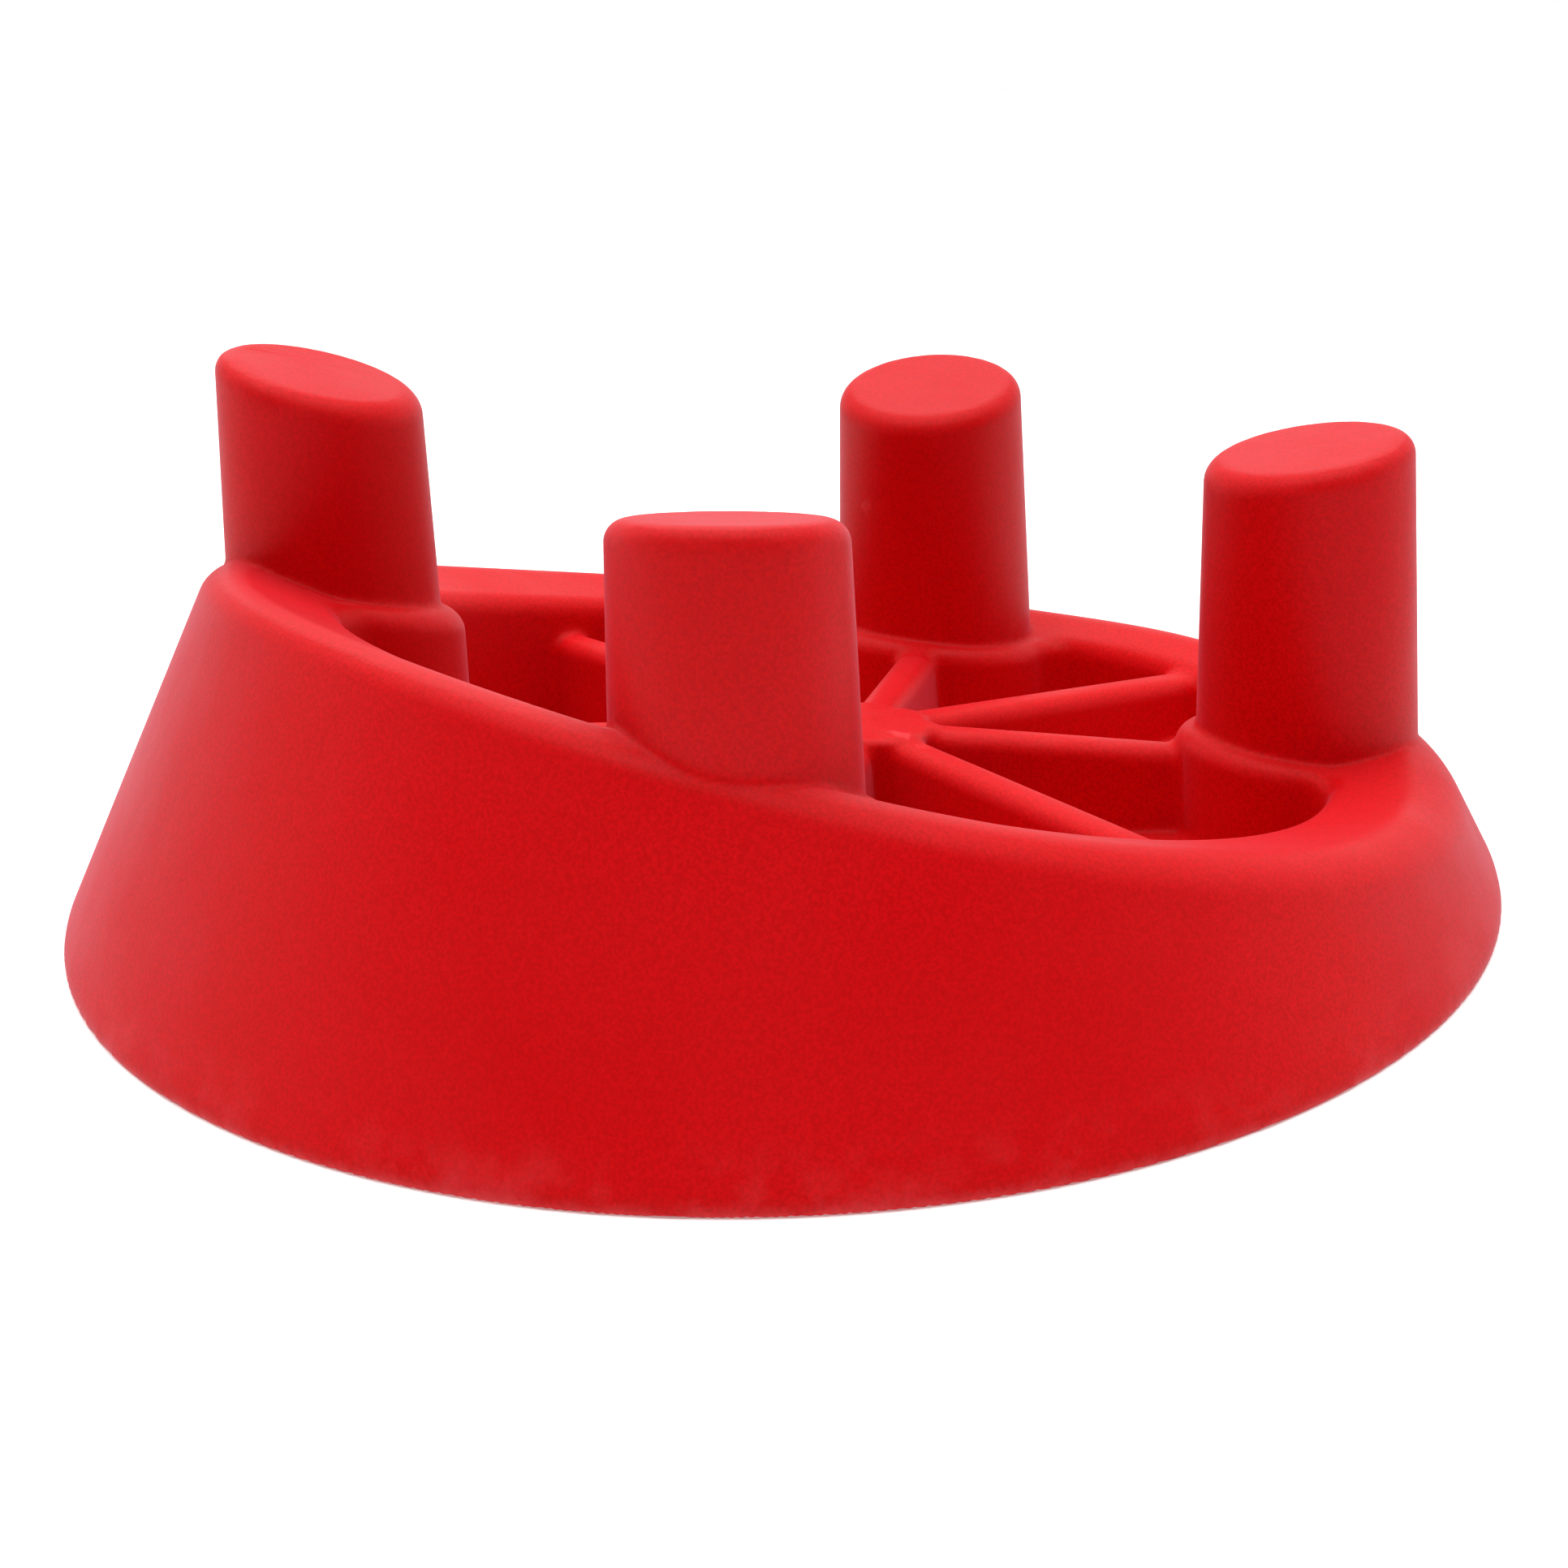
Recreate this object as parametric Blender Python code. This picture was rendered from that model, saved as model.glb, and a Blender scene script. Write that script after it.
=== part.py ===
"""Rubber kicking tee for an oval ball, moulded in one piece.

It has a round foot, a sloping rim, a ribbed well and four posts. Metres, +Z up. The origin is the centre of
the round foot, on the ground. The tee is symmetric about the XZ plane, and its rim falls towards +X.
"""

import math

import bmesh
import bpy
from mathutils import Vector

NODE = "tee_body"

# Outer wall: a cone that leans in as it rises
FOOT_RADIUS = 0.0825
FOOT_BAND = 0.0008
FOOT_CHAMFER = 0.0006
WALL_LEAN = 0.505

# Rim: its height falls along X on a shallow curve and swells a little round the posts, and its top dips
# towards the well
RIM_HEIGHT = 0.0233
RIM_FALL = 0.275
RIM_CURVE = 1.34
RIM_DIP = 0.0028
SWELL_REACH = 0.0200
RIM_OUTER_ROUND = 0.0042
RIM_INNER_ROUND = 0.0018

# Well: a round pocket, its centre set back towards the low side, closed below by a thin floor
WELL_X = 0.0098
WELL_RADIUS = 0.0571
WELL_DRAFT = 0.03
FLOOR_TOP = 0.0013

# Hub and ribs: their tops fall along X less than the rim does, and droop a little away from the hub
HUB_X = 0.0130
HUB_RADIUS = 0.0083
HUB_HEIGHT = 0.0150
HUB_CHAMFER = 0.0008
RIB_FALL = 0.095
RIB_FALL_HIGH_SIDE = 0.055
RIB_DROOP = 0.030
RIB_WIDTH = 0.0042
RIB_DRAFT = 0.06
RIB_OVERRUN = 0.004

# Posts: two high ones at -X and two low ones at +X, which taper and lean towards the middle
POST_RADIUS = 0.0120
POST_REF_Z = 0.04125
POST_TAPER = 0.032
POST_LEAN = 0.022
POST_EDGE_ROUND = 0.0024
HIGH_POST = {"x": -0.0344, "y": 0.0390, "top": 0.0588, "slope": 0.27, "swell": 0.0010}
LOW_POST = {"x": 0.0528, "y": 0.0331, "top": 0.0459, "slope": 0.15, "swell": 0.0018}

# Bosses: the collar of rim round each post's foot
BOSS_RADIUS = 0.0151
BOSS_CHAMFER = 0.0010
BOSS_SETBACK = 0.0060

# Each raised feature starts at its own level inside the floor, so that no two undersides coincide
HUB_FOOT_Z = 0.0004
RIB_FOOT_Z = 0.0005
BOSS_FOOT_Z = 0.0006
POST_FOOT_Z = 0.0007
RIB_START = 0.0062

# Facets
BODY_SIDES = 112
POST_SIDES = 36
ROUND_STEPS = 4
RIB_ARC_STEPS = 6
RIM_FIT_STEPS = 40
SMOOTH_ANGLE = math.radians(40)

RUBBER_RED = (0.60, 0.008, 0.012, 1.0)


def clear_scene():
    for obj in list(bpy.data.objects):
        bpy.data.objects.remove(obj, do_unlink=True)


def rubber_material():
    material = bpy.data.materials.new("red_rubber")
    material.use_nodes = True
    shader = material.node_tree.nodes["Principled BSDF"]
    shader.inputs["Base Color"].default_value = RUBBER_RED
    shader.inputs["Roughness"].default_value = 0.55
    shader.inputs["Metallic"].default_value = 0.0
    return material


def angles(count):
    return [2.0 * math.pi * i / count for i in range(count)]


def rim_height(x, y):
    """Height of the rim's outer edge."""
    height = RIM_HEIGHT - RIM_FALL * x + RIM_CURVE * x * x
    for post in (HIGH_POST, LOW_POST):
        reach = math.hypot(x - post["x"], abs(y) - post["y"]) / SWELL_REACH
        height += post["swell"] * math.exp(-reach * reach)
    return height


def lip_height(x, y):
    """Height of the rim's inner edge, and of the bosses."""
    return rim_height(x, y) - RIM_DIP


def wall_radius(z):
    """Radius of the outer wall at a height."""
    return FOOT_RADIUS - WALL_LEAN * max(0.0, z - FOOT_BAND)


def rim_radius(angle):
    """Radius where the outer wall meets the rim, in one direction from the origin."""
    radius = FOOT_RADIUS
    for _ in range(RIM_FIT_STEPS):
        radius = wall_radius(rim_height(radius * math.cos(angle), radius * math.sin(angle)))
    return radius


def polar(x, radius, angle, z, y=0.0):
    return Vector((x + radius * math.cos(angle), y + radius * math.sin(angle), z))


def rounded_corner(before, corner, after, size, steps):
    """Points that round a corner, from its first side to its second."""
    start = corner + (before - corner).normalized() * size
    end = corner + (after - corner).normalized() * size
    points = []
    for step in range(steps + 1):
        t = step / steps
        points.append(start * (1 - t) ** 2 + corner * 2 * t * (1 - t) + end * t ** 2)
    return points


def mesh_object(name, bm, material=None):
    bmesh.ops.recalc_face_normals(bm, faces=bm.faces)
    mesh = bpy.data.meshes.new(name)
    bm.to_mesh(mesh)
    bm.free()
    obj = bpy.data.objects.new(name, mesh)
    bpy.context.scene.collection.objects.link(obj)
    if material:
        mesh.materials.append(material)
    return obj


def lofted(name, rings, material=None):
    """A closed body skinned over rings of points, with a fan over the first and the last ring."""
    bm = bmesh.new()
    loops = [[bm.verts.new(point) for point in ring] for ring in rings]
    for lower, upper in zip(loops, loops[1:]):
        for i in range(len(lower)):
            j = (i + 1) % len(lower)
            bm.faces.new((lower[i], lower[j], upper[j], upper[i]))
    for loop in (loops[0], loops[-1]):
        middle = sum((v.co for v in loop), Vector()) / len(loop)
        centre = bm.verts.new(middle)
        for i in range(len(loop)):
            bm.faces.new((loop[i], loop[(i + 1) % len(loop)], centre))
    return mesh_object(name, bm, material)


def body_column(angle):
    """The body's section in one direction, from the foot, over the rim, to the well's floor."""
    outer_r = rim_radius(angle)
    outer = polar(0.0, outer_r, angle, 0.0)
    outer.z = rim_height(outer.x, outer.y)
    inner = polar(WELL_X, WELL_RADIUS, angle, 0.0)
    inner.z = lip_height(inner.x, inner.y)
    foot = polar(0.0, FOOT_RADIUS, angle, FOOT_BAND)
    floor_r = WELL_RADIUS - WELL_DRAFT * (inner.z - FLOOR_TOP)
    floor = polar(WELL_X, floor_r, angle, FLOOR_TOP)
    column = [polar(0.0, FOOT_RADIUS - FOOT_CHAMFER, angle, 0.0), foot]
    column += rounded_corner(foot, outer, inner, RIM_OUTER_ROUND, ROUND_STEPS)
    column += rounded_corner(outer, inner, floor, RIM_INNER_ROUND, 2)
    column.append(floor)
    return column


def make_body(material):
    columns = [body_column(angle) for angle in angles(BODY_SIDES)]
    rings = [list(ring) for ring in zip(*columns)]
    return lofted(NODE, rings, material)


def post_axis(post, z):
    """The post's centre at a height, and the level direction from the middle of the posts out to it."""
    middle_x = (HIGH_POST["x"] + LOW_POST["x"]) / 2
    outward = Vector((post["x"] - middle_x, post["y"], 0.0)).normalized()
    centre = Vector((post["x"], post["y"], z)) - outward * POST_LEAN * (z - POST_REF_Z)
    return centre, outward


def post_radius(z):
    return POST_RADIUS - POST_TAPER * (z - POST_REF_Z)


def post_ring(post, z, inset, drop):
    """One ring of a post's rounded top edge. Inset is in from the side, drop is below the sloping top."""
    centre, outward = post_axis(post, z)
    radius = post_radius(z) - inset
    ring = []
    for angle in angles(POST_SIDES):
        across = Vector((radius * math.cos(angle), radius * math.sin(angle), 0.0))
        point = centre + across
        point.z = post["top"] + post["slope"] * across.dot(outward) - drop
        ring.append(point)
    return ring


def make_post(name, post):
    centre, _ = post_axis(post, POST_FOOT_Z)
    radius = post_radius(POST_FOOT_Z)
    rings = [[polar(centre.x, radius, a, POST_FOOT_Z, centre.y) for a in angles(POST_SIDES)]]
    for step in range(ROUND_STEPS + 1):
        turn = 0.5 * math.pi * step / ROUND_STEPS
        inset = POST_EDGE_ROUND * (1 - math.cos(turn))
        drop = POST_EDGE_ROUND * (1 - math.sin(turn))
        rings.append(post_ring(post, post["top"], inset, drop))
    return lofted(name, rings)


def boss_point(centre, radius, angle):
    """A point on the boss's side, held back from the outer wall."""
    point = polar(centre.x, radius, angle, 0.0, centre.y)
    limit = rim_radius(math.atan2(point.y, point.x)) - BOSS_SETBACK
    return point * min(1.0, limit / point.length)


def make_boss(name, post):
    """The collar round a post's foot, from the floor up to the rim's inner height."""
    centre, _ = post_axis(post, RIM_HEIGHT)
    rings = []
    for radius, drop in (
        (BOSS_RADIUS, None),
        (BOSS_RADIUS, BOSS_CHAMFER),
        (BOSS_RADIUS - BOSS_CHAMFER, 0.0),
        (BOSS_RADIUS / 2, 0.0),
    ):
        ring = [boss_point(centre, radius, angle) for angle in angles(POST_SIDES)]
        for point in ring:
            point.z = BOSS_FOOT_Z if drop is None else lip_height(point.x, point.y) - drop
        rings.append(ring)
    return lofted(name, rings)


def hub_height(x):
    return HUB_HEIGHT - RIB_FALL * (x - HUB_X)


def crest_height(x, y):
    """Height of a rib's top, which droops away from the hub and climbs less on the high side."""
    fall = RIB_FALL if x > HUB_X else RIB_FALL_HIGH_SIDE
    return HUB_HEIGHT - fall * (x - HUB_X) - RIB_DROOP * math.hypot(x - HUB_X, y)


def make_hub(name):
    rings = []
    for inset, drop in ((0.0, None), (0.0, HUB_CHAMFER), (HUB_CHAMFER, 0.0)):
        ring = [polar(HUB_X, HUB_RADIUS - inset, a, 0.0) for a in angles(POST_SIDES)]
        for point in ring:
            point.z = HUB_FOOT_Z if drop is None else hub_height(point.x) - drop
        rings.append(ring)
    return lofted(name, rings)


def rib_section(start, along, distance):
    """The rib's outline at one distance from the hub: drafted sides under a half-round top."""
    middle = start + along * distance
    side = Vector((-along.y, along.x, 0.0))
    half = RIB_WIDTH / 2
    crest = crest_height(middle.x, middle.y)
    shoulder = crest - half
    base_half = half + RIB_DRAFT * (shoulder - RIB_FOOT_Z)
    points = [middle + side * base_half + Vector((0.0, 0.0, RIB_FOOT_Z))]
    for step in range(RIB_ARC_STEPS + 1):
        turn = math.pi * step / RIB_ARC_STEPS
        height = shoulder + half * math.sin(turn)
        points.append(middle + side * half * math.cos(turn) + Vector((0.0, 0.0, height)))
    points.append(middle - side * base_half + Vector((0.0, 0.0, RIB_FOOT_Z)))
    return points


def make_rib(name, end):
    """A rib from inside the hub to a point inside the wall or a post."""
    start = Vector((HUB_X, 0.0, 0.0))
    along = Vector((end[0] - HUB_X, end[1], 0.0))
    length = along.length
    along.normalize()
    rings = [rib_section(start, along, distance) for distance in (RIB_START, length)]
    return lofted(name, rings)


def rib_ends():
    """Where the eight ribs end: four run to the posts, and four to the wall between them."""
    reach = WELL_RADIUS + RIB_OVERRUN
    ends = {
        "rib_low": (WELL_X + reach, 0.0),
        "rib_high": (WELL_X - reach, 0.0),
        "rib_left": (HUB_X, reach),
        "rib_right": (HUB_X, -reach),
    }
    for name, post in posts().items():
        centre, _ = post_axis(post, POST_FOOT_Z)
        ends["rib_" + name] = (centre.x, centre.y)
    return ends


def posts():
    """The four posts: each pair is mirrored in the XZ plane."""
    mirrored = {}
    for level, post in (("high", HIGH_POST), ("low", LOW_POST)):
        mirrored[level + "_left"] = dict(post)
        mirrored[level + "_right"] = dict(post, y=-post["y"])
    return mirrored


def helper_collection(name, helpers):
    """Shapes that a Boolean reads, kept out of the finished object."""
    group = bpy.data.collections.new(name)
    bpy.context.scene.collection.children.link(group)
    for helper in helpers:
        bpy.context.scene.collection.objects.unlink(helper)
        group.objects.link(helper)
        helper.hide_render = True
        helper.display_type = "WIRE"
    return group


def join(obj, name, group):
    modifier = obj.modifiers.new(name, "BOOLEAN")
    modifier.operation = "UNION"
    modifier.operand_type = "COLLECTION"
    modifier.collection = group
    modifier.solver = "EXACT"


def build_tee():
    clear_scene()
    body = make_body(rubber_material())
    raised = [make_hub("hub")]
    raised += [make_rib(name, end) for name, end in rib_ends().items()]
    raised += [make_boss("boss_" + name, post) for name, post in posts().items()]
    raised += [make_post("post_" + name, post) for name, post in posts().items()]
    join(body, "raised features", helper_collection("raised", raised))
    body.data.shade_smooth()
    body.data.set_sharp_from_angle(angle=SMOOTH_ANGLE)


build_tee()
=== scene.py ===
"""Rubber kicking tee: the filleted moulding, its red rubber, and a plain white studio."""

import math

import bpy
import numpy as np
from mathutils import Matrix, Vector


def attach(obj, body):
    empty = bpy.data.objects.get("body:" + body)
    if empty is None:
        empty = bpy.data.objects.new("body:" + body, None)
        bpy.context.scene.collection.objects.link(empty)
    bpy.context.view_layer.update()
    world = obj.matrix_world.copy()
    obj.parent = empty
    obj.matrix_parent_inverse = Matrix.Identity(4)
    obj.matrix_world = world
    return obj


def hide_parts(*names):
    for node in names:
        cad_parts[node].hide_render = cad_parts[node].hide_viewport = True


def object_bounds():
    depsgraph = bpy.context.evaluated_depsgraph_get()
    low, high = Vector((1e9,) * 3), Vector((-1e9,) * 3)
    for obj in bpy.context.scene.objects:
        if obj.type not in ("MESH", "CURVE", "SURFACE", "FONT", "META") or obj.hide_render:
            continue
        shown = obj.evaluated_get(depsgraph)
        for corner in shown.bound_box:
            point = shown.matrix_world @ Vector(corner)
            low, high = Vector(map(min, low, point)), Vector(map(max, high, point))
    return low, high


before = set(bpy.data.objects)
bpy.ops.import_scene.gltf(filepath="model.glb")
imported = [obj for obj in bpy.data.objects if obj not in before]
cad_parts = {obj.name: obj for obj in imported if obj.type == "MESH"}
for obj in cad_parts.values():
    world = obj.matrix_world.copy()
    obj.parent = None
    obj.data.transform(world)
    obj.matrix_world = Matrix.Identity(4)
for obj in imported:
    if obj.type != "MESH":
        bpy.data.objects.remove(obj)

CAD_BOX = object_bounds()

# Outer wall: a cone that leans in as it rises, on a round foot
FOOT_RADIUS = CAD_BOX[1][0]
FOOT_BAND = 0.0008
FOOT_ROUND = 0.0006
WALL_LEAN = 0.505

# Rim: its height falls along X on a shallow curve, and its top dips towards the well.
# Swells raise it by the high left post, by the low right post, at the low side and inside each low post.
# Each is given by its x, y, height and reach.
RIM_HEIGHT = 0.0233
RIM_FALL = 0.275
RIM_CURVE = 1.34
RIM_DIP = 0.0028
DIP_SHARES = (-0.5, 1.0)
THINNEST_RING = 1e-4
RIM_OUTER_ROUND = 0.0044
RIM_INNER_ROUND = 0.0022
SWELLS = (
    (-0.0285, 0.0325, 0.0024, 0.0200),
    (0.0545, -0.0345, 0.0030, 0.0200),
    (0.0720, 0.0060, 0.0009, 0.0180),
    (0.0470, 0.0285, 0.0013, 0.0110),
    (0.0470, -0.0285, 0.0008, 0.0110),
)

# Well: a round pocket, closed below by a thin floor
WELL_X = 0.0098
WELL_RADIUS = 0.0571
WELL_DRAFT = 0.03
FLOOR_TOP = 0.0013
FLOOR_OVERLAP = 0.002
FLOOR_FILLET = 0.0008

# Hub and ribs: their tops fall along X less than the rim does, and the ribs droop a little towards the wall
HUB_X = 0.0130
HUB_RADIUS = 0.0083
HUB_HEIGHT = 0.0150
HUB_ROUND = 0.0009
RIB_FALL = 0.095
RIB_FALL_HIGH_SIDE = 0.055
RIB_DROOP = 0.030
RIB_HALF_WIDTH = 0.0026
RIB_DRAFT = 0.06
RIB_TOP_ROUND = 0.0021
RIB_FILLET = 0.0012
RIB_OVERRUN = 0.004
LEFT_RIB_END_X = 0.0088

# Posts: a high pair at -X and a low pair at +X, left at +Y. They taper upward and lean towards the middle.
POST_RADIUS = 0.0120
POST_REF_Z = 0.04125
POST_TAPER = 0.032
POST_LEAN = 0.022
POST_EDGE_ROUND = 0.0022
POST_FILLET = 0.0005
HIGH_LEFT = {"x": -0.0344, "y": 0.0390, "top": 0.0588, "slope": 0.29}
HIGH_RIGHT = {"x": -0.0344, "y": -0.0390, "top": 0.0567, "slope": 0.20}
LOW_LEFT = {"x": 0.0528, "y": 0.0331, "top": 0.0440, "slope": 0.18}
LOW_RIGHT = {"x": 0.0528, "y": -0.0331, "top": 0.0469, "slope": 0.15}

# Bosses: round thick places in the ring, one under each post
BOSS_RADIUS = 0.0151
BOSS_DRAFT = 0.02
BOSS_FILLET = 0.0040

# Mesh: the grid reaches past the CAD's box by a few cells, and a point moves by a share of a cell in a round
CELL = 0.00062
GRID_BELOW = 2.37
GRID_ABOVE = 2.5
SLOPE_STEP = 2e-5
LEAST_STEEP = 0.1
MOST_MOVE = 0.5
SMALLEST = 1e-9
MOST_TRIANGLES = 190_000

# Camera: its lens and sensor are in millimetres. FOOT_AT is where the middle of the foot comes in the
# picture, right and down from the picture's middle, as shares of the picture's width.
BACK_OFF = 3.912 * FOOT_RADIUS
ELEVATION = math.radians(22.58)
TURN = math.radians(37.12)
ROLL = math.radians(-2.18)
LENS = 62.76
SENSOR_WIDTH = 36.0
CLIP_START = 0.01
FOOT_AT = (-0.0020, 0.0527)

# Stage: a round floor that glows a little, inside a white sphere that only the camera sees
FLOOR_REACH = 0.75
FLOOR_SIDES = 96
FLOOR_WHITE = 0.93
FLOOR_GLOW = 0.22
BACKDROP_RADIUS = 5.0
BACKDROP_SEGMENTS = 48
BACKDROP_RINGS = 24
MATT = 0.9

# Lights: a white room that is dark on the camera's side, and two soft boxes. A soft box's place is
# right of the tee, away from the camera and up.
WALL_LIGHT = 0.80
ROOM_LIGHT = 0.02
DARK_SIDE = (-0.15, 0.45)
OVERHEAD = {"at": (0.0, 0.15, 1.2), "size": (1.4, 1.4), "power": 20.0}
FRONT_FILL = {"at": (-0.3, -1.5, 0.45), "size": (1.4, 0.9), "power": 3.2}
LIGHTS_AIM = (0.0, 0.0, 0.02)

# Rubber: its reds, where wear and painted highlights show, and its gloss
RED = (0.66, 0.0015, 0.003, 1.0)
RED_BRIGHT = (0.73, 0.0025, 0.005, 1.0)
RED_SPECK = (0.52, 0.001, 0.002, 1.0)
# Painted highlight: a paler red laid on faces that look up
RED_PAINTED_HIGHLIGHT = (0.90, 0.36, 0.39, 1.0)
# Edge wear with painted highlight: a lighter red along the sharper edges
RED_WEAR_AND_HIGHLIGHT = (0.85, 0.08, 0.09, 1.0)
RED_SCUFFED = (0.80, 0.07, 0.08, 1.0)
# Heights over which the painted highlight on upward faces grows from faint to full
PAINTED_HIGHLIGHT_HEIGHTS = (0.016, 0.030)
SCUFF_HEIGHTS = (0.0, 0.007)
SCUFF_REACHES = (0.074, 0.077)
ROUGHNESS = (0.42, 0.54)
GLOSS = {
    "IOR": 1.5,
    "Specular IOR Level": 0.15,
    "Sheen Weight": 0.18,
    "Sheen Roughness": 0.3,
    "Sheen Tint": (1.0, 0.50, 0.70, 1.0),
}


def rounded_cut(a, b, radius):
    """Where two solids overlap, with a round edge."""
    edge = np.hypot(np.maximum(a + radius, 0.0), np.maximum(b + radius, 0.0))
    return np.minimum(-radius, np.maximum(a, b)) + edge


def filleted_join(a, b, radius):
    """Two solids together, with a fillet between them."""
    corner = np.hypot(np.maximum(radius - a, 0.0), np.maximum(radius - b, 0.0))
    return np.maximum(radius, np.minimum(a, b)) - corner


def four_posts():
    """Each post, with the level direction from the middle of the posts out to it."""
    posts = (HIGH_LEFT, HIGH_RIGHT, LOW_LEFT, LOW_RIGHT)
    middle_x = sum(post["x"] for post in posts) / 4
    for post in posts:
        reach = math.hypot(post["x"] - middle_x, post["y"])
        yield dict(post, outward=((post["x"] - middle_x) / reach, post["y"] / reach))


def post_offset(post, x, y, z):
    """Level offset from the post's leaning axis."""
    drift = POST_LEAN * (z - POST_REF_Z)
    dx = x - post["x"] + post["outward"][0] * drift
    dy = y - post["y"] + post["outward"][1] * drift
    return dx, dy


def rim_solid(x, y, z):
    """The ring round the well and the bosses, under the rim's top, inside the outer wall."""
    outer_height = RIM_HEIGHT - RIM_FALL * x + RIM_CURVE * x * x
    for at_x, at_y, height, reach in SWELLS:
        away = ((x - at_x) ** 2 + (y - at_y) ** 2) / reach ** 2
        outer_height = outer_height + height * np.exp(-away)
    rho = np.hypot(x, y)
    rho_well = np.hypot(x - WELL_X, y)
    to_wall = FOOT_RADIUS - WALL_LEAN * (outer_height - FOOT_BAND) - rho
    to_well = rho_well - WELL_RADIUS
    share = np.clip(to_wall / np.maximum(to_wall + to_well, THINNEST_RING), *DIP_SHARES)
    fall = RIM_FALL - 2 * RIM_CURVE * x
    top = (z - outer_height + RIM_DIP * share) / np.sqrt(1.0 + fall ** 2)
    ring = WELL_RADIUS - WELL_DRAFT * (outer_height - RIM_DIP - z) - rho_well
    for post in four_posts():
        dx, dy = post_offset(post, x, y, z)
        boss = np.hypot(dx, dy) - BOSS_RADIUS - BOSS_DRAFT * (RIM_HEIGHT - z)
        ring = filleted_join(ring, boss, BOSS_FILLET)
    ring = rounded_cut(ring, top, RIM_INNER_ROUND)
    wall = (rho - FOOT_RADIUS + WALL_LEAN * (z - FOOT_BAND)) / math.hypot(1.0, WALL_LEAN)
    return rounded_cut(ring, wall, RIM_OUTER_ROUND)


def rib_ends():
    """Where the eight ribs end: four past the well's wall, and one on the line of each post."""
    reach = WELL_RADIUS + RIB_OVERRUN
    ends = [(WELL_X + reach, 0.0), (WELL_X - reach, 0.0), (LEFT_RIB_END_X, reach), (HUB_X, -reach)]
    return ends + [(post["x"], post["y"]) for post in four_posts()]


def hub_and_ribs(x, y, z):
    """The hub, and a rib with a rounded crest out to each end."""
    from_hub = np.hypot(x - HUB_X, y)
    above_hub = z - HUB_HEIGHT + RIB_FALL * (x - HUB_X)
    solid = rounded_cut(from_hub - HUB_RADIUS, above_hub, HUB_ROUND)
    lower = (RIB_FALL - RIB_FALL_HIGH_SIDE) * np.maximum(HUB_X - x, 0.0)
    crest = above_hub + RIB_DROOP * from_hub + lower
    for end_x, end_y in rib_ends():
        run_x, run_y = end_x - HUB_X, end_y
        length = math.hypot(run_x, run_y)
        run_x, run_y = run_x / length, run_y / length
        along = np.clip((x - HUB_X) * run_x + y * run_y, 0.0, length)
        across = np.hypot(x - HUB_X - along * run_x, y - along * run_y)
        rib = rounded_cut(across - RIB_HALF_WIDTH + RIB_DRAFT * crest, crest, RIB_TOP_ROUND)
        solid = filleted_join(solid, rib, RIB_FILLET)
    return solid


def post_solid(post, x, y, z):
    """A post that tapers and leans, with a sloping top."""
    dx, dy = post_offset(post, x, y, z)
    side = np.hypot(dx, dy) - POST_RADIUS + POST_TAPER * (z - POST_REF_Z)
    rise = dx * post["outward"][0] + dy * post["outward"][1]
    top = (z - post["top"] - post["slope"] * rise) / math.hypot(1.0, post["slope"])
    return rounded_cut(side, top, POST_EDGE_ROUND)


def tee(x, y, z):
    """About how far a point is from the tee's surface, negative inside."""
    floor = np.maximum(z - FLOOR_TOP, np.hypot(x - WELL_X, y) - WELL_RADIUS - FLOOR_OVERLAP)
    well = filleted_join(hub_and_ribs(x, y, z), floor, FLOOR_FILLET)
    solid = filleted_join(rim_solid(x, y, z), well, RIB_FILLET)
    for post in four_posts():
        solid = filleted_join(solid, post_solid(post, x, y, z), POST_FILLET)
    rho = np.hypot(x, y)
    foot = rounded_cut(rho - FOOT_RADIUS, -z, FOOT_ROUND)
    return rounded_cut(solid, foot, FOOT_ROUND)


def surface_nets(field, low, cell):
    """Points and quads on the zero surface of a sampled field, with a point in each cell it crosses."""
    inside = field < 0
    corners = [(i, j, k) for i in (0, 1) for j in (0, 1) for k in (0, 1)]
    size = np.array(field.shape) - 1

    def shifted(array, corner):
        return array[tuple(slice(c, c + n) for c, n in zip(corner, size))]

    count = sum(shifted(inside, corner).astype(np.int8) for corner in corners)
    active = np.argwhere((count > 0) & (count < 8))
    index = np.full(size, -1, np.int64)
    index[tuple(active.T)] = np.arange(len(active))
    total = np.zeros((len(active), 3))
    hits = np.zeros((len(active), 1))
    for first in corners:
        for axis in range(3):
            if first[axis]:
                continue
            second = tuple(c + (axis == i) for i, c in enumerate(first))
            a = field[tuple((active + first).T)]
            b = field[tuple((active + second).T)]
            crossing = (a < 0) != (b < 0)
            share = a[crossing] / (a[crossing] - b[crossing])
            point = np.tile(np.array(first, float), (len(share), 1))
            point[:, axis] += share
            total[crossing] += point
            hits[crossing] += 1
    points = low + cell * (active + total / hits)
    quads = []
    for axis in range(3):
        one = [slice(None)] * 3
        two = [slice(None)] * 3
        one[axis], two[axis] = slice(0, -1), slice(1, None)
        starts = inside[tuple(one)]
        ends = inside[tuple(two)]
        u, v = (axis + 1) % 3, (axis + 2) % 3
        leaving = ((0, 0), (1, 0), (1, 1), (0, 1))
        entering = ((0, 0), (0, 1), (1, 1), (1, 0))
        for crossed, turn in ((starts & ~ends, leaving), (ends & ~starts, entering)):
            crossing = np.argwhere(crossed)
            ring = []
            for du, dv in turn:
                cell_at = crossing.copy()
                cell_at[:, u] += du - 1
                cell_at[:, v] += dv - 1
                ring.append(index[tuple(cell_at.T)])
            quads.append(np.stack(ring, 1))
    return points, np.concatenate(quads)


def gradient(points):
    """Slope of the tee's field at points."""
    slope = np.zeros_like(points)
    for corner in ((1, 1, 1), (1, -1, -1), (-1, 1, -1), (-1, -1, 1)):
        value = tee(*(points + np.array(corner) * SLOPE_STEP).T)
        slope += value[:, None] * np.array(corner)
    return slope / (4 * SLOPE_STEP)


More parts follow.
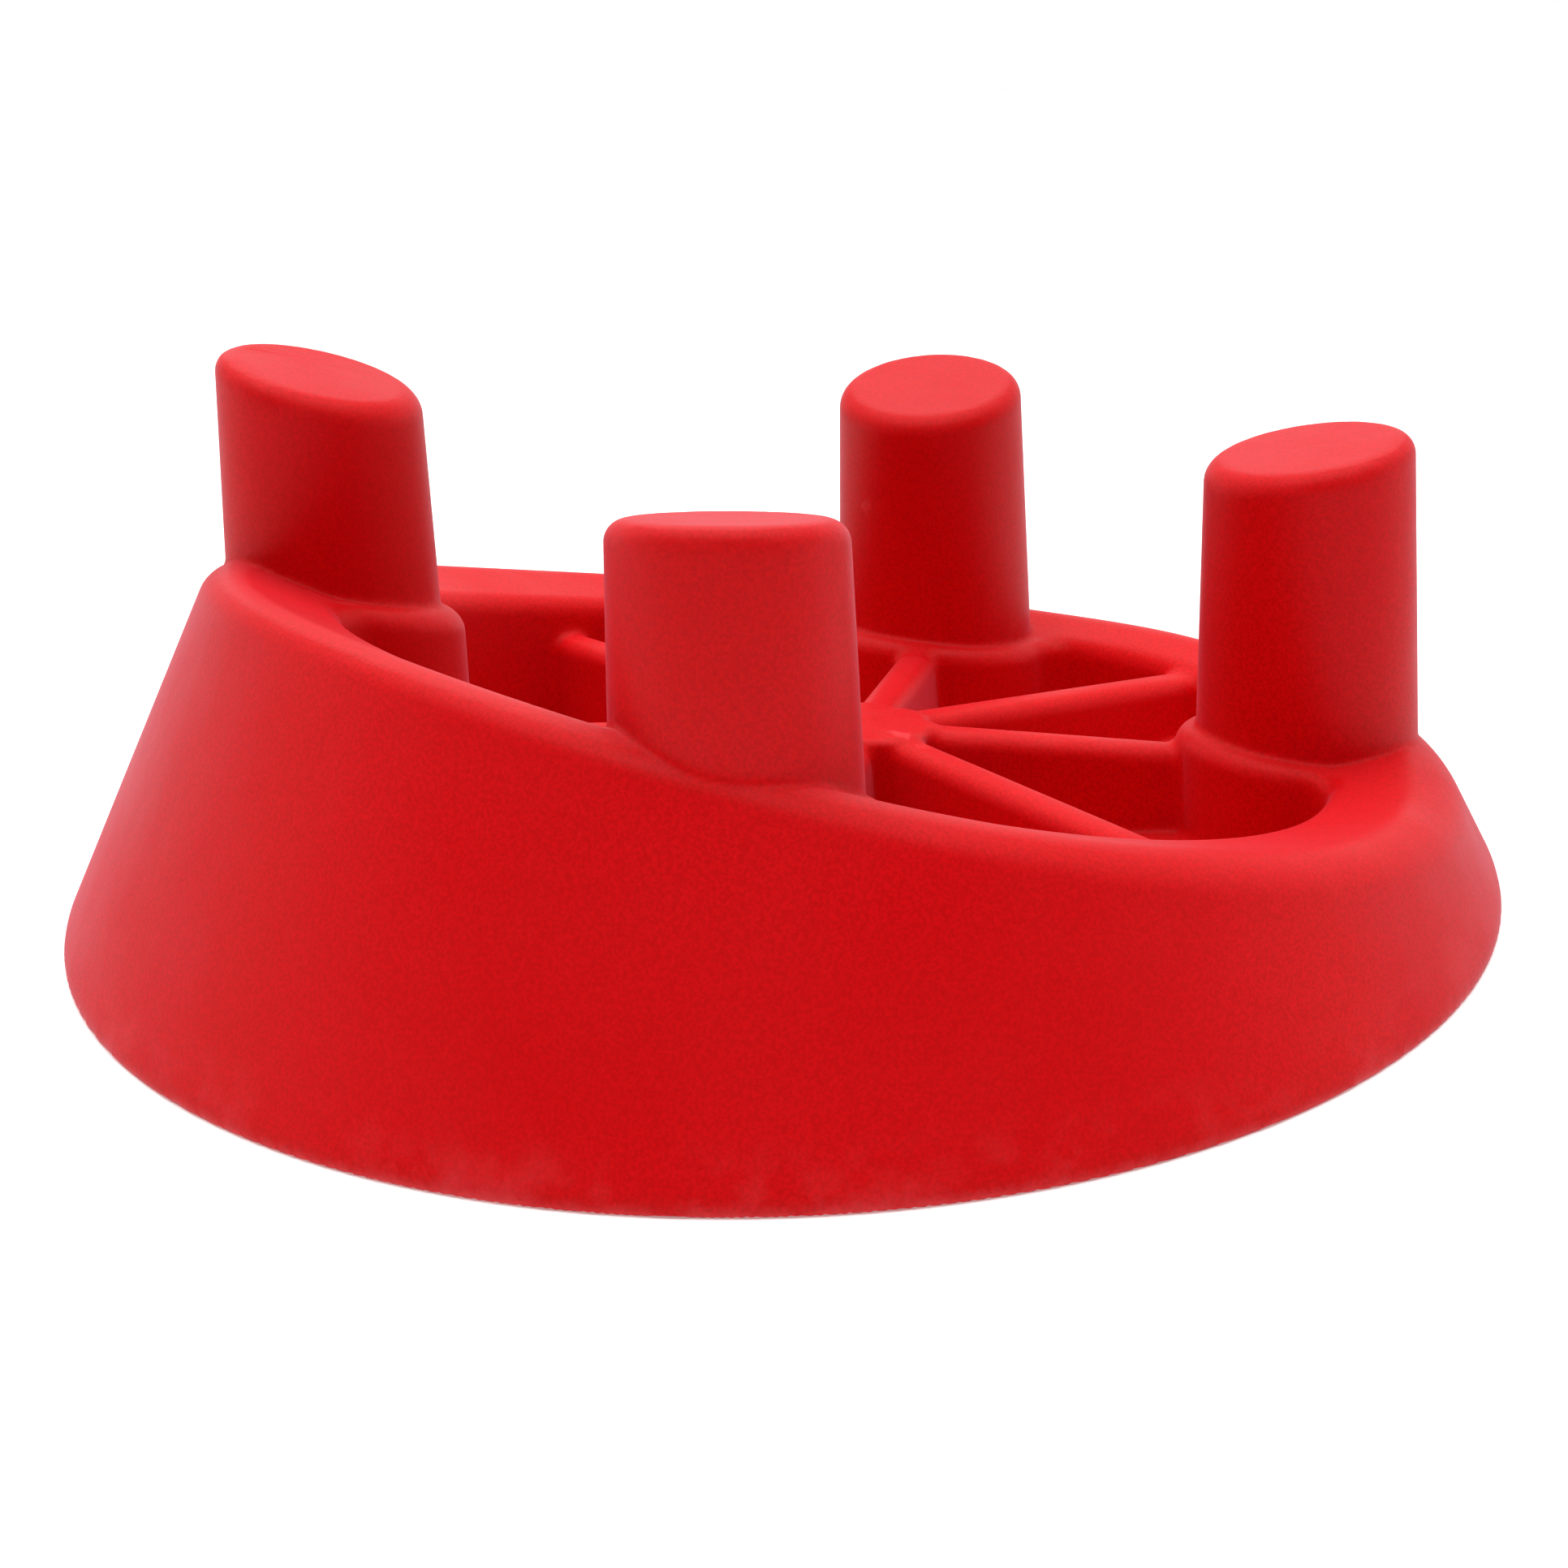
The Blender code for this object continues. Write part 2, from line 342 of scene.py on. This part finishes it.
def onto_surface(points, rounds):
    """Moves points along the field's slope onto the surface, by at most MOST_MOVE of a cell in a round."""
    for _ in range(rounds):
        slope = gradient(points)
        steep = np.maximum((slope ** 2).sum(1), LEAST_STEEP)
        move = slope * (tee(*points.T) / steep)[:, None]
        far = np.linalg.norm(move, axis=1, keepdims=True)
        points = points - move * np.minimum(1.0, MOST_MOVE * CELL / np.maximum(far, SMALLEST))
    return points


def sampled_field(low, high):
    """The tee's field on a grid of cells between two corners, a slice at a time."""
    axes = [np.arange(lo, hi + CELL, CELL) for lo, hi in zip(low, high)]
    field = np.empty([len(axis) for axis in axes])
    for i, x in enumerate(axes[0]):
        field[i] = tee(x, axes[1][:, None], axes[2][None, :])
    return field


def mesh_from(name, points, faces):
    """A mesh of points, and faces that all have the same number of sides."""
    mesh = bpy.data.meshes.new(name)
    mesh.vertices.add(len(points))
    mesh.vertices.foreach_set("co", points.ravel())
    sides = faces.shape[1]
    mesh.loops.add(faces.size)
    mesh.loops.foreach_set("vertex_index", faces.ravel())
    mesh.polygons.add(len(faces))
    mesh.polygons.foreach_set("loop_start", np.arange(len(faces)) * sides)
    mesh.polygons.foreach_set("loop_total", np.full(len(faces), sides))
    mesh.update(calc_edges=True)
    mesh.validate()
    return mesh


def thinned(obj, most):
    """Applies a collapse that keeps detail where the surface bends."""
    triangles = sum(len(p.vertices) - 2 for p in obj.data.polygons)
    if triangles > most:
        modifier = obj.modifiers.new("thin", "DECIMATE")
        modifier.ratio = most / triangles
        graph = bpy.context.evaluated_depsgraph_get()
        mesh = bpy.data.meshes.new_from_object(obj.evaluated_get(graph))
        obj.modifiers.clear()
        obj.data = mesh


def make_moulding():
    """The tee as one mesh on its surface, kept inside the CAD's box."""
    low = np.array(CAD_BOX[0]) - GRID_BELOW * CELL
    high = np.array(CAD_BOX[1]) + GRID_ABOVE * CELL
    points, quads = surface_nets(sampled_field(low, high), low, CELL)
    mesh = mesh_from("tee_moulding", onto_surface(points, 3), quads)
    obj = bpy.data.objects.new("tee_moulding", mesh)
    bpy.context.scene.collection.objects.link(obj)
    thinned(obj, MOST_TRIANGLES)
    mesh = obj.data
    points = np.empty(len(mesh.vertices) * 3)
    mesh.vertices.foreach_get("co", points)
    points = onto_surface(points.reshape(-1, 3), 2)
    points = np.clip(points, CAD_BOX[0], CAD_BOX[1])
    mesh.vertices.foreach_set("co", points.ravel())
    mesh.update()
    mesh.shade_smooth()
    return obj


def node(tree, kind, **values):
    """A new node, with each value given to the socket of that name or else to the setting."""
    made = tree.nodes.new(kind)
    for name, value in values.items():
        socket = made.inputs.get(name)
        if socket is None:
            setattr(made, name, value)
        else:
            socket.default_value = value
    return made


def noise(tree, place, scale, detail=2.0, roughness=0.5):
    made = node(tree, "ShaderNodeTexNoise", Scale=scale, Detail=detail, Roughness=roughness)
    tree.links.new(place, made.inputs["Vector"])
    return made.outputs["Fac"]


def ranged(tree, value, between, becomes):
    """A value that runs between two numbers, stretched to run between two others."""
    made = node(tree, "ShaderNodeMapRange")
    made.inputs["From Min"].default_value, made.inputs["From Max"].default_value = between
    made.inputs["To Min"].default_value, made.inputs["To Max"].default_value = becomes
    tree.links.new(value, made.inputs["Value"])
    return made.outputs["Result"]


def up_part(tree, vector):
    made = node(tree, "ShaderNodeSeparateXYZ")
    tree.links.new(vector, made.inputs["Vector"])
    return made.outputs["Z"]


def times(tree, first, second):
    made = node(tree, "ShaderNodeMath", operation="MULTIPLY")
    tree.links.new(first, made.inputs[0])
    tree.links.new(second, made.inputs[1])
    return made.outputs["Value"]


def mixed(tree, share, first, second):
    """Two colours mixed. A Mix node's colours are its sockets 6 and 7, and its output 2."""
    made = node(tree, "ShaderNodeMix", data_type="RGBA")
    for socket, value in ((made.inputs[6], first), (made.inputs[7], second)):
        if isinstance(value, tuple):
            socket.default_value = value
        else:
            tree.links.new(value, socket)
    tree.links.new(share, made.inputs[0])
    return made.outputs[2]


def bumped(tree, height, strength, distance, before=None):
    made = node(tree, "ShaderNodeBump", Strength=strength, Distance=distance)
    tree.links.new(height, made.inputs["Height"])
    if before:
        tree.links.new(before, made.inputs["Normal"])
    return made.outputs["Normal"]


def grained_red(tree, place):
    """Two reds in broad patches, with a fine darker speck."""
    patches = ranged(tree, noise(tree, place, scale=22.0, detail=3.0), (0.3, 0.7), (0.0, 1.0))
    specks = ranged(tree, noise(tree, place, scale=2600.0, roughness=0.7), (0.38, 0.62), (0.0, 0.7))
    return mixed(tree, specks, mixed(tree, patches, RED, RED_BRIGHT), RED_SPECK)


def painted_top_highlight(tree, place, colour):
    """Painted highlight: a paler red on faces that look up, faint low down and full at the height of the
    post tops.
    """
    surface = node(tree, "ShaderNodeNewGeometry")
    upward = ranged(tree, up_part(tree, surface.outputs["Normal"]), (0.90, 0.98), (0.0, 0.06))
    raised = ranged(tree, up_part(tree, place), PAINTED_HIGHLIGHT_HEIGHTS, (0.2, 1.0))
    return mixed(tree, times(tree, upward, raised), colour, RED_PAINTED_HIGHLIGHT)


def edge_wear_and_highlight(tree, place, colour):
    """Edge wear with painted highlight: lighter rubber along the sharper edges, more in some places than in
    others.
    """
    surface = node(tree, "ShaderNodeNewGeometry")
    edges = ranged(tree, surface.outputs["Pointiness"], (0.512, 0.58), (0.0, 1.0))
    spots = noise(tree, place, scale=260.0, detail=4.0, roughness=0.6)
    patches = ranged(tree, spots, (0.35, 0.65), (0.15, 0.5))
    return mixed(tree, times(tree, edges, patches), colour, RED_WEAR_AND_HIGHLIGHT)


def scuffed(tree, place, colour):
    """Lighter scuffs low on the outside of the wall."""
    low = ranged(tree, up_part(tree, place), SCUFF_HEIGHTS, (0.45, 0.0))
    reach = node(tree, "ShaderNodeVectorMath", operation="LENGTH")
    tree.links.new(place, reach.inputs[0])
    outside = ranged(tree, reach.outputs["Value"], SCUFF_REACHES, (0.0, 1.0))
    spots = noise(tree, place, scale=75.0, detail=8.0, roughness=0.7)
    marks = ranged(tree, spots, (0.48, 0.68), (0.0, 1.0))
    return mixed(tree, times(tree, times(tree, low, outside), marks), colour, RED_SCUFFED)


def red_rubber():
    """Red rubber with worn colour, painted highlights on upward faces and along edges, uneven gloss, and a
    bumped surface of soft waves under a fine grain.
    """
    material = bpy.data.materials.new("red_rubber_moulded")
    material.use_nodes = True
    tree = material.node_tree
    shader = tree.nodes["Principled BSDF"]
    place = node(tree, "ShaderNodeTexCoord").outputs["Object"]
    colour = grained_red(tree, place)
    # Layers: a painted highlight on upward faces, edge wear with painted highlight, and scuffs low on the
    # wall
    for layer in (painted_top_highlight, edge_wear_and_highlight, scuffed):
        colour = layer(tree, place, colour)
    tree.links.new(colour, shader.inputs["Base Color"])
    smear = noise(tree, place, scale=60.0, detail=4.0)
    tree.links.new(ranged(tree, smear, (0.3, 0.7), ROUGHNESS), shader.inputs["Roughness"])
    waves = noise(tree, place, scale=140.0)
    grain = noise(tree, place, scale=1900.0, detail=3.0, roughness=0.6)
    normal = bumped(tree, waves, strength=0.25, distance=0.0004)
    normal = bumped(tree, grain, strength=0.35, distance=0.00006, before=normal)
    tree.links.new(normal, shader.inputs["Normal"])
    for name, value in GLOSS.items():
        shader.inputs[name].default_value = value
    return material


def glowing_white(name, colour, glow):
    material = bpy.data.materials.new(name)
    material.use_nodes = True
    shader = material.node_tree.nodes["Principled BSDF"]
    shader.inputs["Base Color"].default_value = (colour, colour, colour, 1.0)
    shader.inputs["Roughness"].default_value = MATT
    shader.inputs["Emission Color"].default_value = (1.0, 1.0, 1.0, 1.0)
    shader.inputs["Emission Strength"].default_value = glow
    return material


def white_sweep():
    """A round white floor, and a white backdrop that only the camera sees."""
    floor_mesh = bpy.data.meshes.new("floor")
    turns = [2 * math.pi * i / FLOOR_SIDES for i in range(FLOOR_SIDES)]
    rim = [(FLOOR_REACH * math.cos(turn), FLOOR_REACH * math.sin(turn), 0.0) for turn in turns]
    floor_mesh.from_pydata(rim, [], [list(range(FLOOR_SIDES))])
    floor_mesh.materials.append(glowing_white("floor_white", FLOOR_WHITE, FLOOR_GLOW))
    floor = bpy.data.objects.new("floor", floor_mesh)
    floor.visible_glossy = False
    bpy.ops.mesh.primitive_uv_sphere_add(
        radius=BACKDROP_RADIUS, segments=BACKDROP_SEGMENTS, ring_count=BACKDROP_RINGS
    )
    backdrop = bpy.context.object
    backdrop.name = "backdrop"
    backdrop.data.materials.append(glowing_white("backdrop_white", 0.0, 1.0))
    backdrop.visible_diffuse = False
    backdrop.visible_glossy = False
    backdrop.visible_transmission = False
    backdrop.visible_shadow = False
    bpy.context.scene.collection.objects.link(floor)


def from_photo_axes(right, away, up):
    """A vector given by the camera's level axes, in the tee's frame."""
    x = right * math.cos(TURN) + away * math.sin(TURN)
    y = -right * math.sin(TURN) + away * math.cos(TURN)
    return Vector((x, y, up))


def soft_box(name, at, size, power):
    """A rectangular light that faces the tee and doesn't show in its gloss."""
    light = bpy.data.lights.new(name, "AREA")
    light.shape = "RECTANGLE"
    light.size, light.size_y = size
    light.energy = power
    obj = bpy.data.objects.new(name, light)
    bpy.context.scene.collection.objects.link(obj)
    place = from_photo_axes(*at)
    obj.location = place
    obj.rotation_euler = (Vector(LIGHTS_AIM) - place).to_track_quat("-Z", "Y").to_euler()
    obj.visible_glossy = False


def studio():
    """The white room, which darkens towards the camera's side, and the soft boxes."""
    world = bpy.data.worlds.new("studio")
    world.use_nodes = True
    tree = world.node_tree
    background = tree.nodes["Background"]
    background.inputs["Color"].default_value = (1.0, 1.0, 1.0, 1.0)
    place = node(tree, "ShaderNodeTexCoord").outputs["Generated"]
    facing = node(tree, "ShaderNodeVectorMath", operation="DOT_PRODUCT")
    facing.inputs[1].default_value = from_photo_axes(0.0, -1.0, 0.0)
    tree.links.new(place, facing.inputs[0])
    strength = ranged(tree, facing.outputs["Value"], DARK_SIDE, (WALL_LIGHT, ROOM_LIGHT))
    tree.links.new(strength, background.inputs["Strength"])
    bpy.context.scene.world = world
    soft_box("overhead", **OVERHEAD)
    soft_box("front_fill", **FRONT_FILL)
    bpy.context.scene.view_settings.view_transform = "Standard"


def camera():
    """A camera aimed at the middle of the foot, rolled, then swung so that it comes where FOOT_AT says."""
    eye = from_photo_axes(0.0, -BACK_OFF * math.cos(ELEVATION), BACK_OFF * math.sin(ELEVATION))
    forward = (-eye).normalized()
    right = forward.cross(Vector((0.0, 0.0, 1.0))).normalized()
    down = forward.cross(right).normalized()
    level = Matrix((right, down, forward))
    aim = Vector((*FOOT_AT, LENS / SENSOR_WIDTH)).normalized()
    swing = Vector((0.0, 0.0, 1.0)).rotation_difference(aim).to_matrix()
    axes = swing @ Matrix.Rotation(ROLL, 3, "Z") @ level
    data = bpy.data.cameras.new("camera")
    data.sensor_width = SENSOR_WIDTH
    data.lens = LENS
    data.clip_start = CLIP_START
    obj = bpy.data.objects.new("camera", data)
    bpy.context.scene.collection.objects.link(obj)
    turned = Matrix((axes[0], -axes[1], -axes[2])).transposed()
    obj.matrix_world = Matrix.Translation(eye) @ turned.to_4x4()
    bpy.context.scene.camera = obj


camera()
white_sweep()
studio()
moulding = make_moulding()
moulding.data.materials.clear()
moulding.data.materials.append(red_rubber())
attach(moulding, "root")
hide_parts("tee_body")
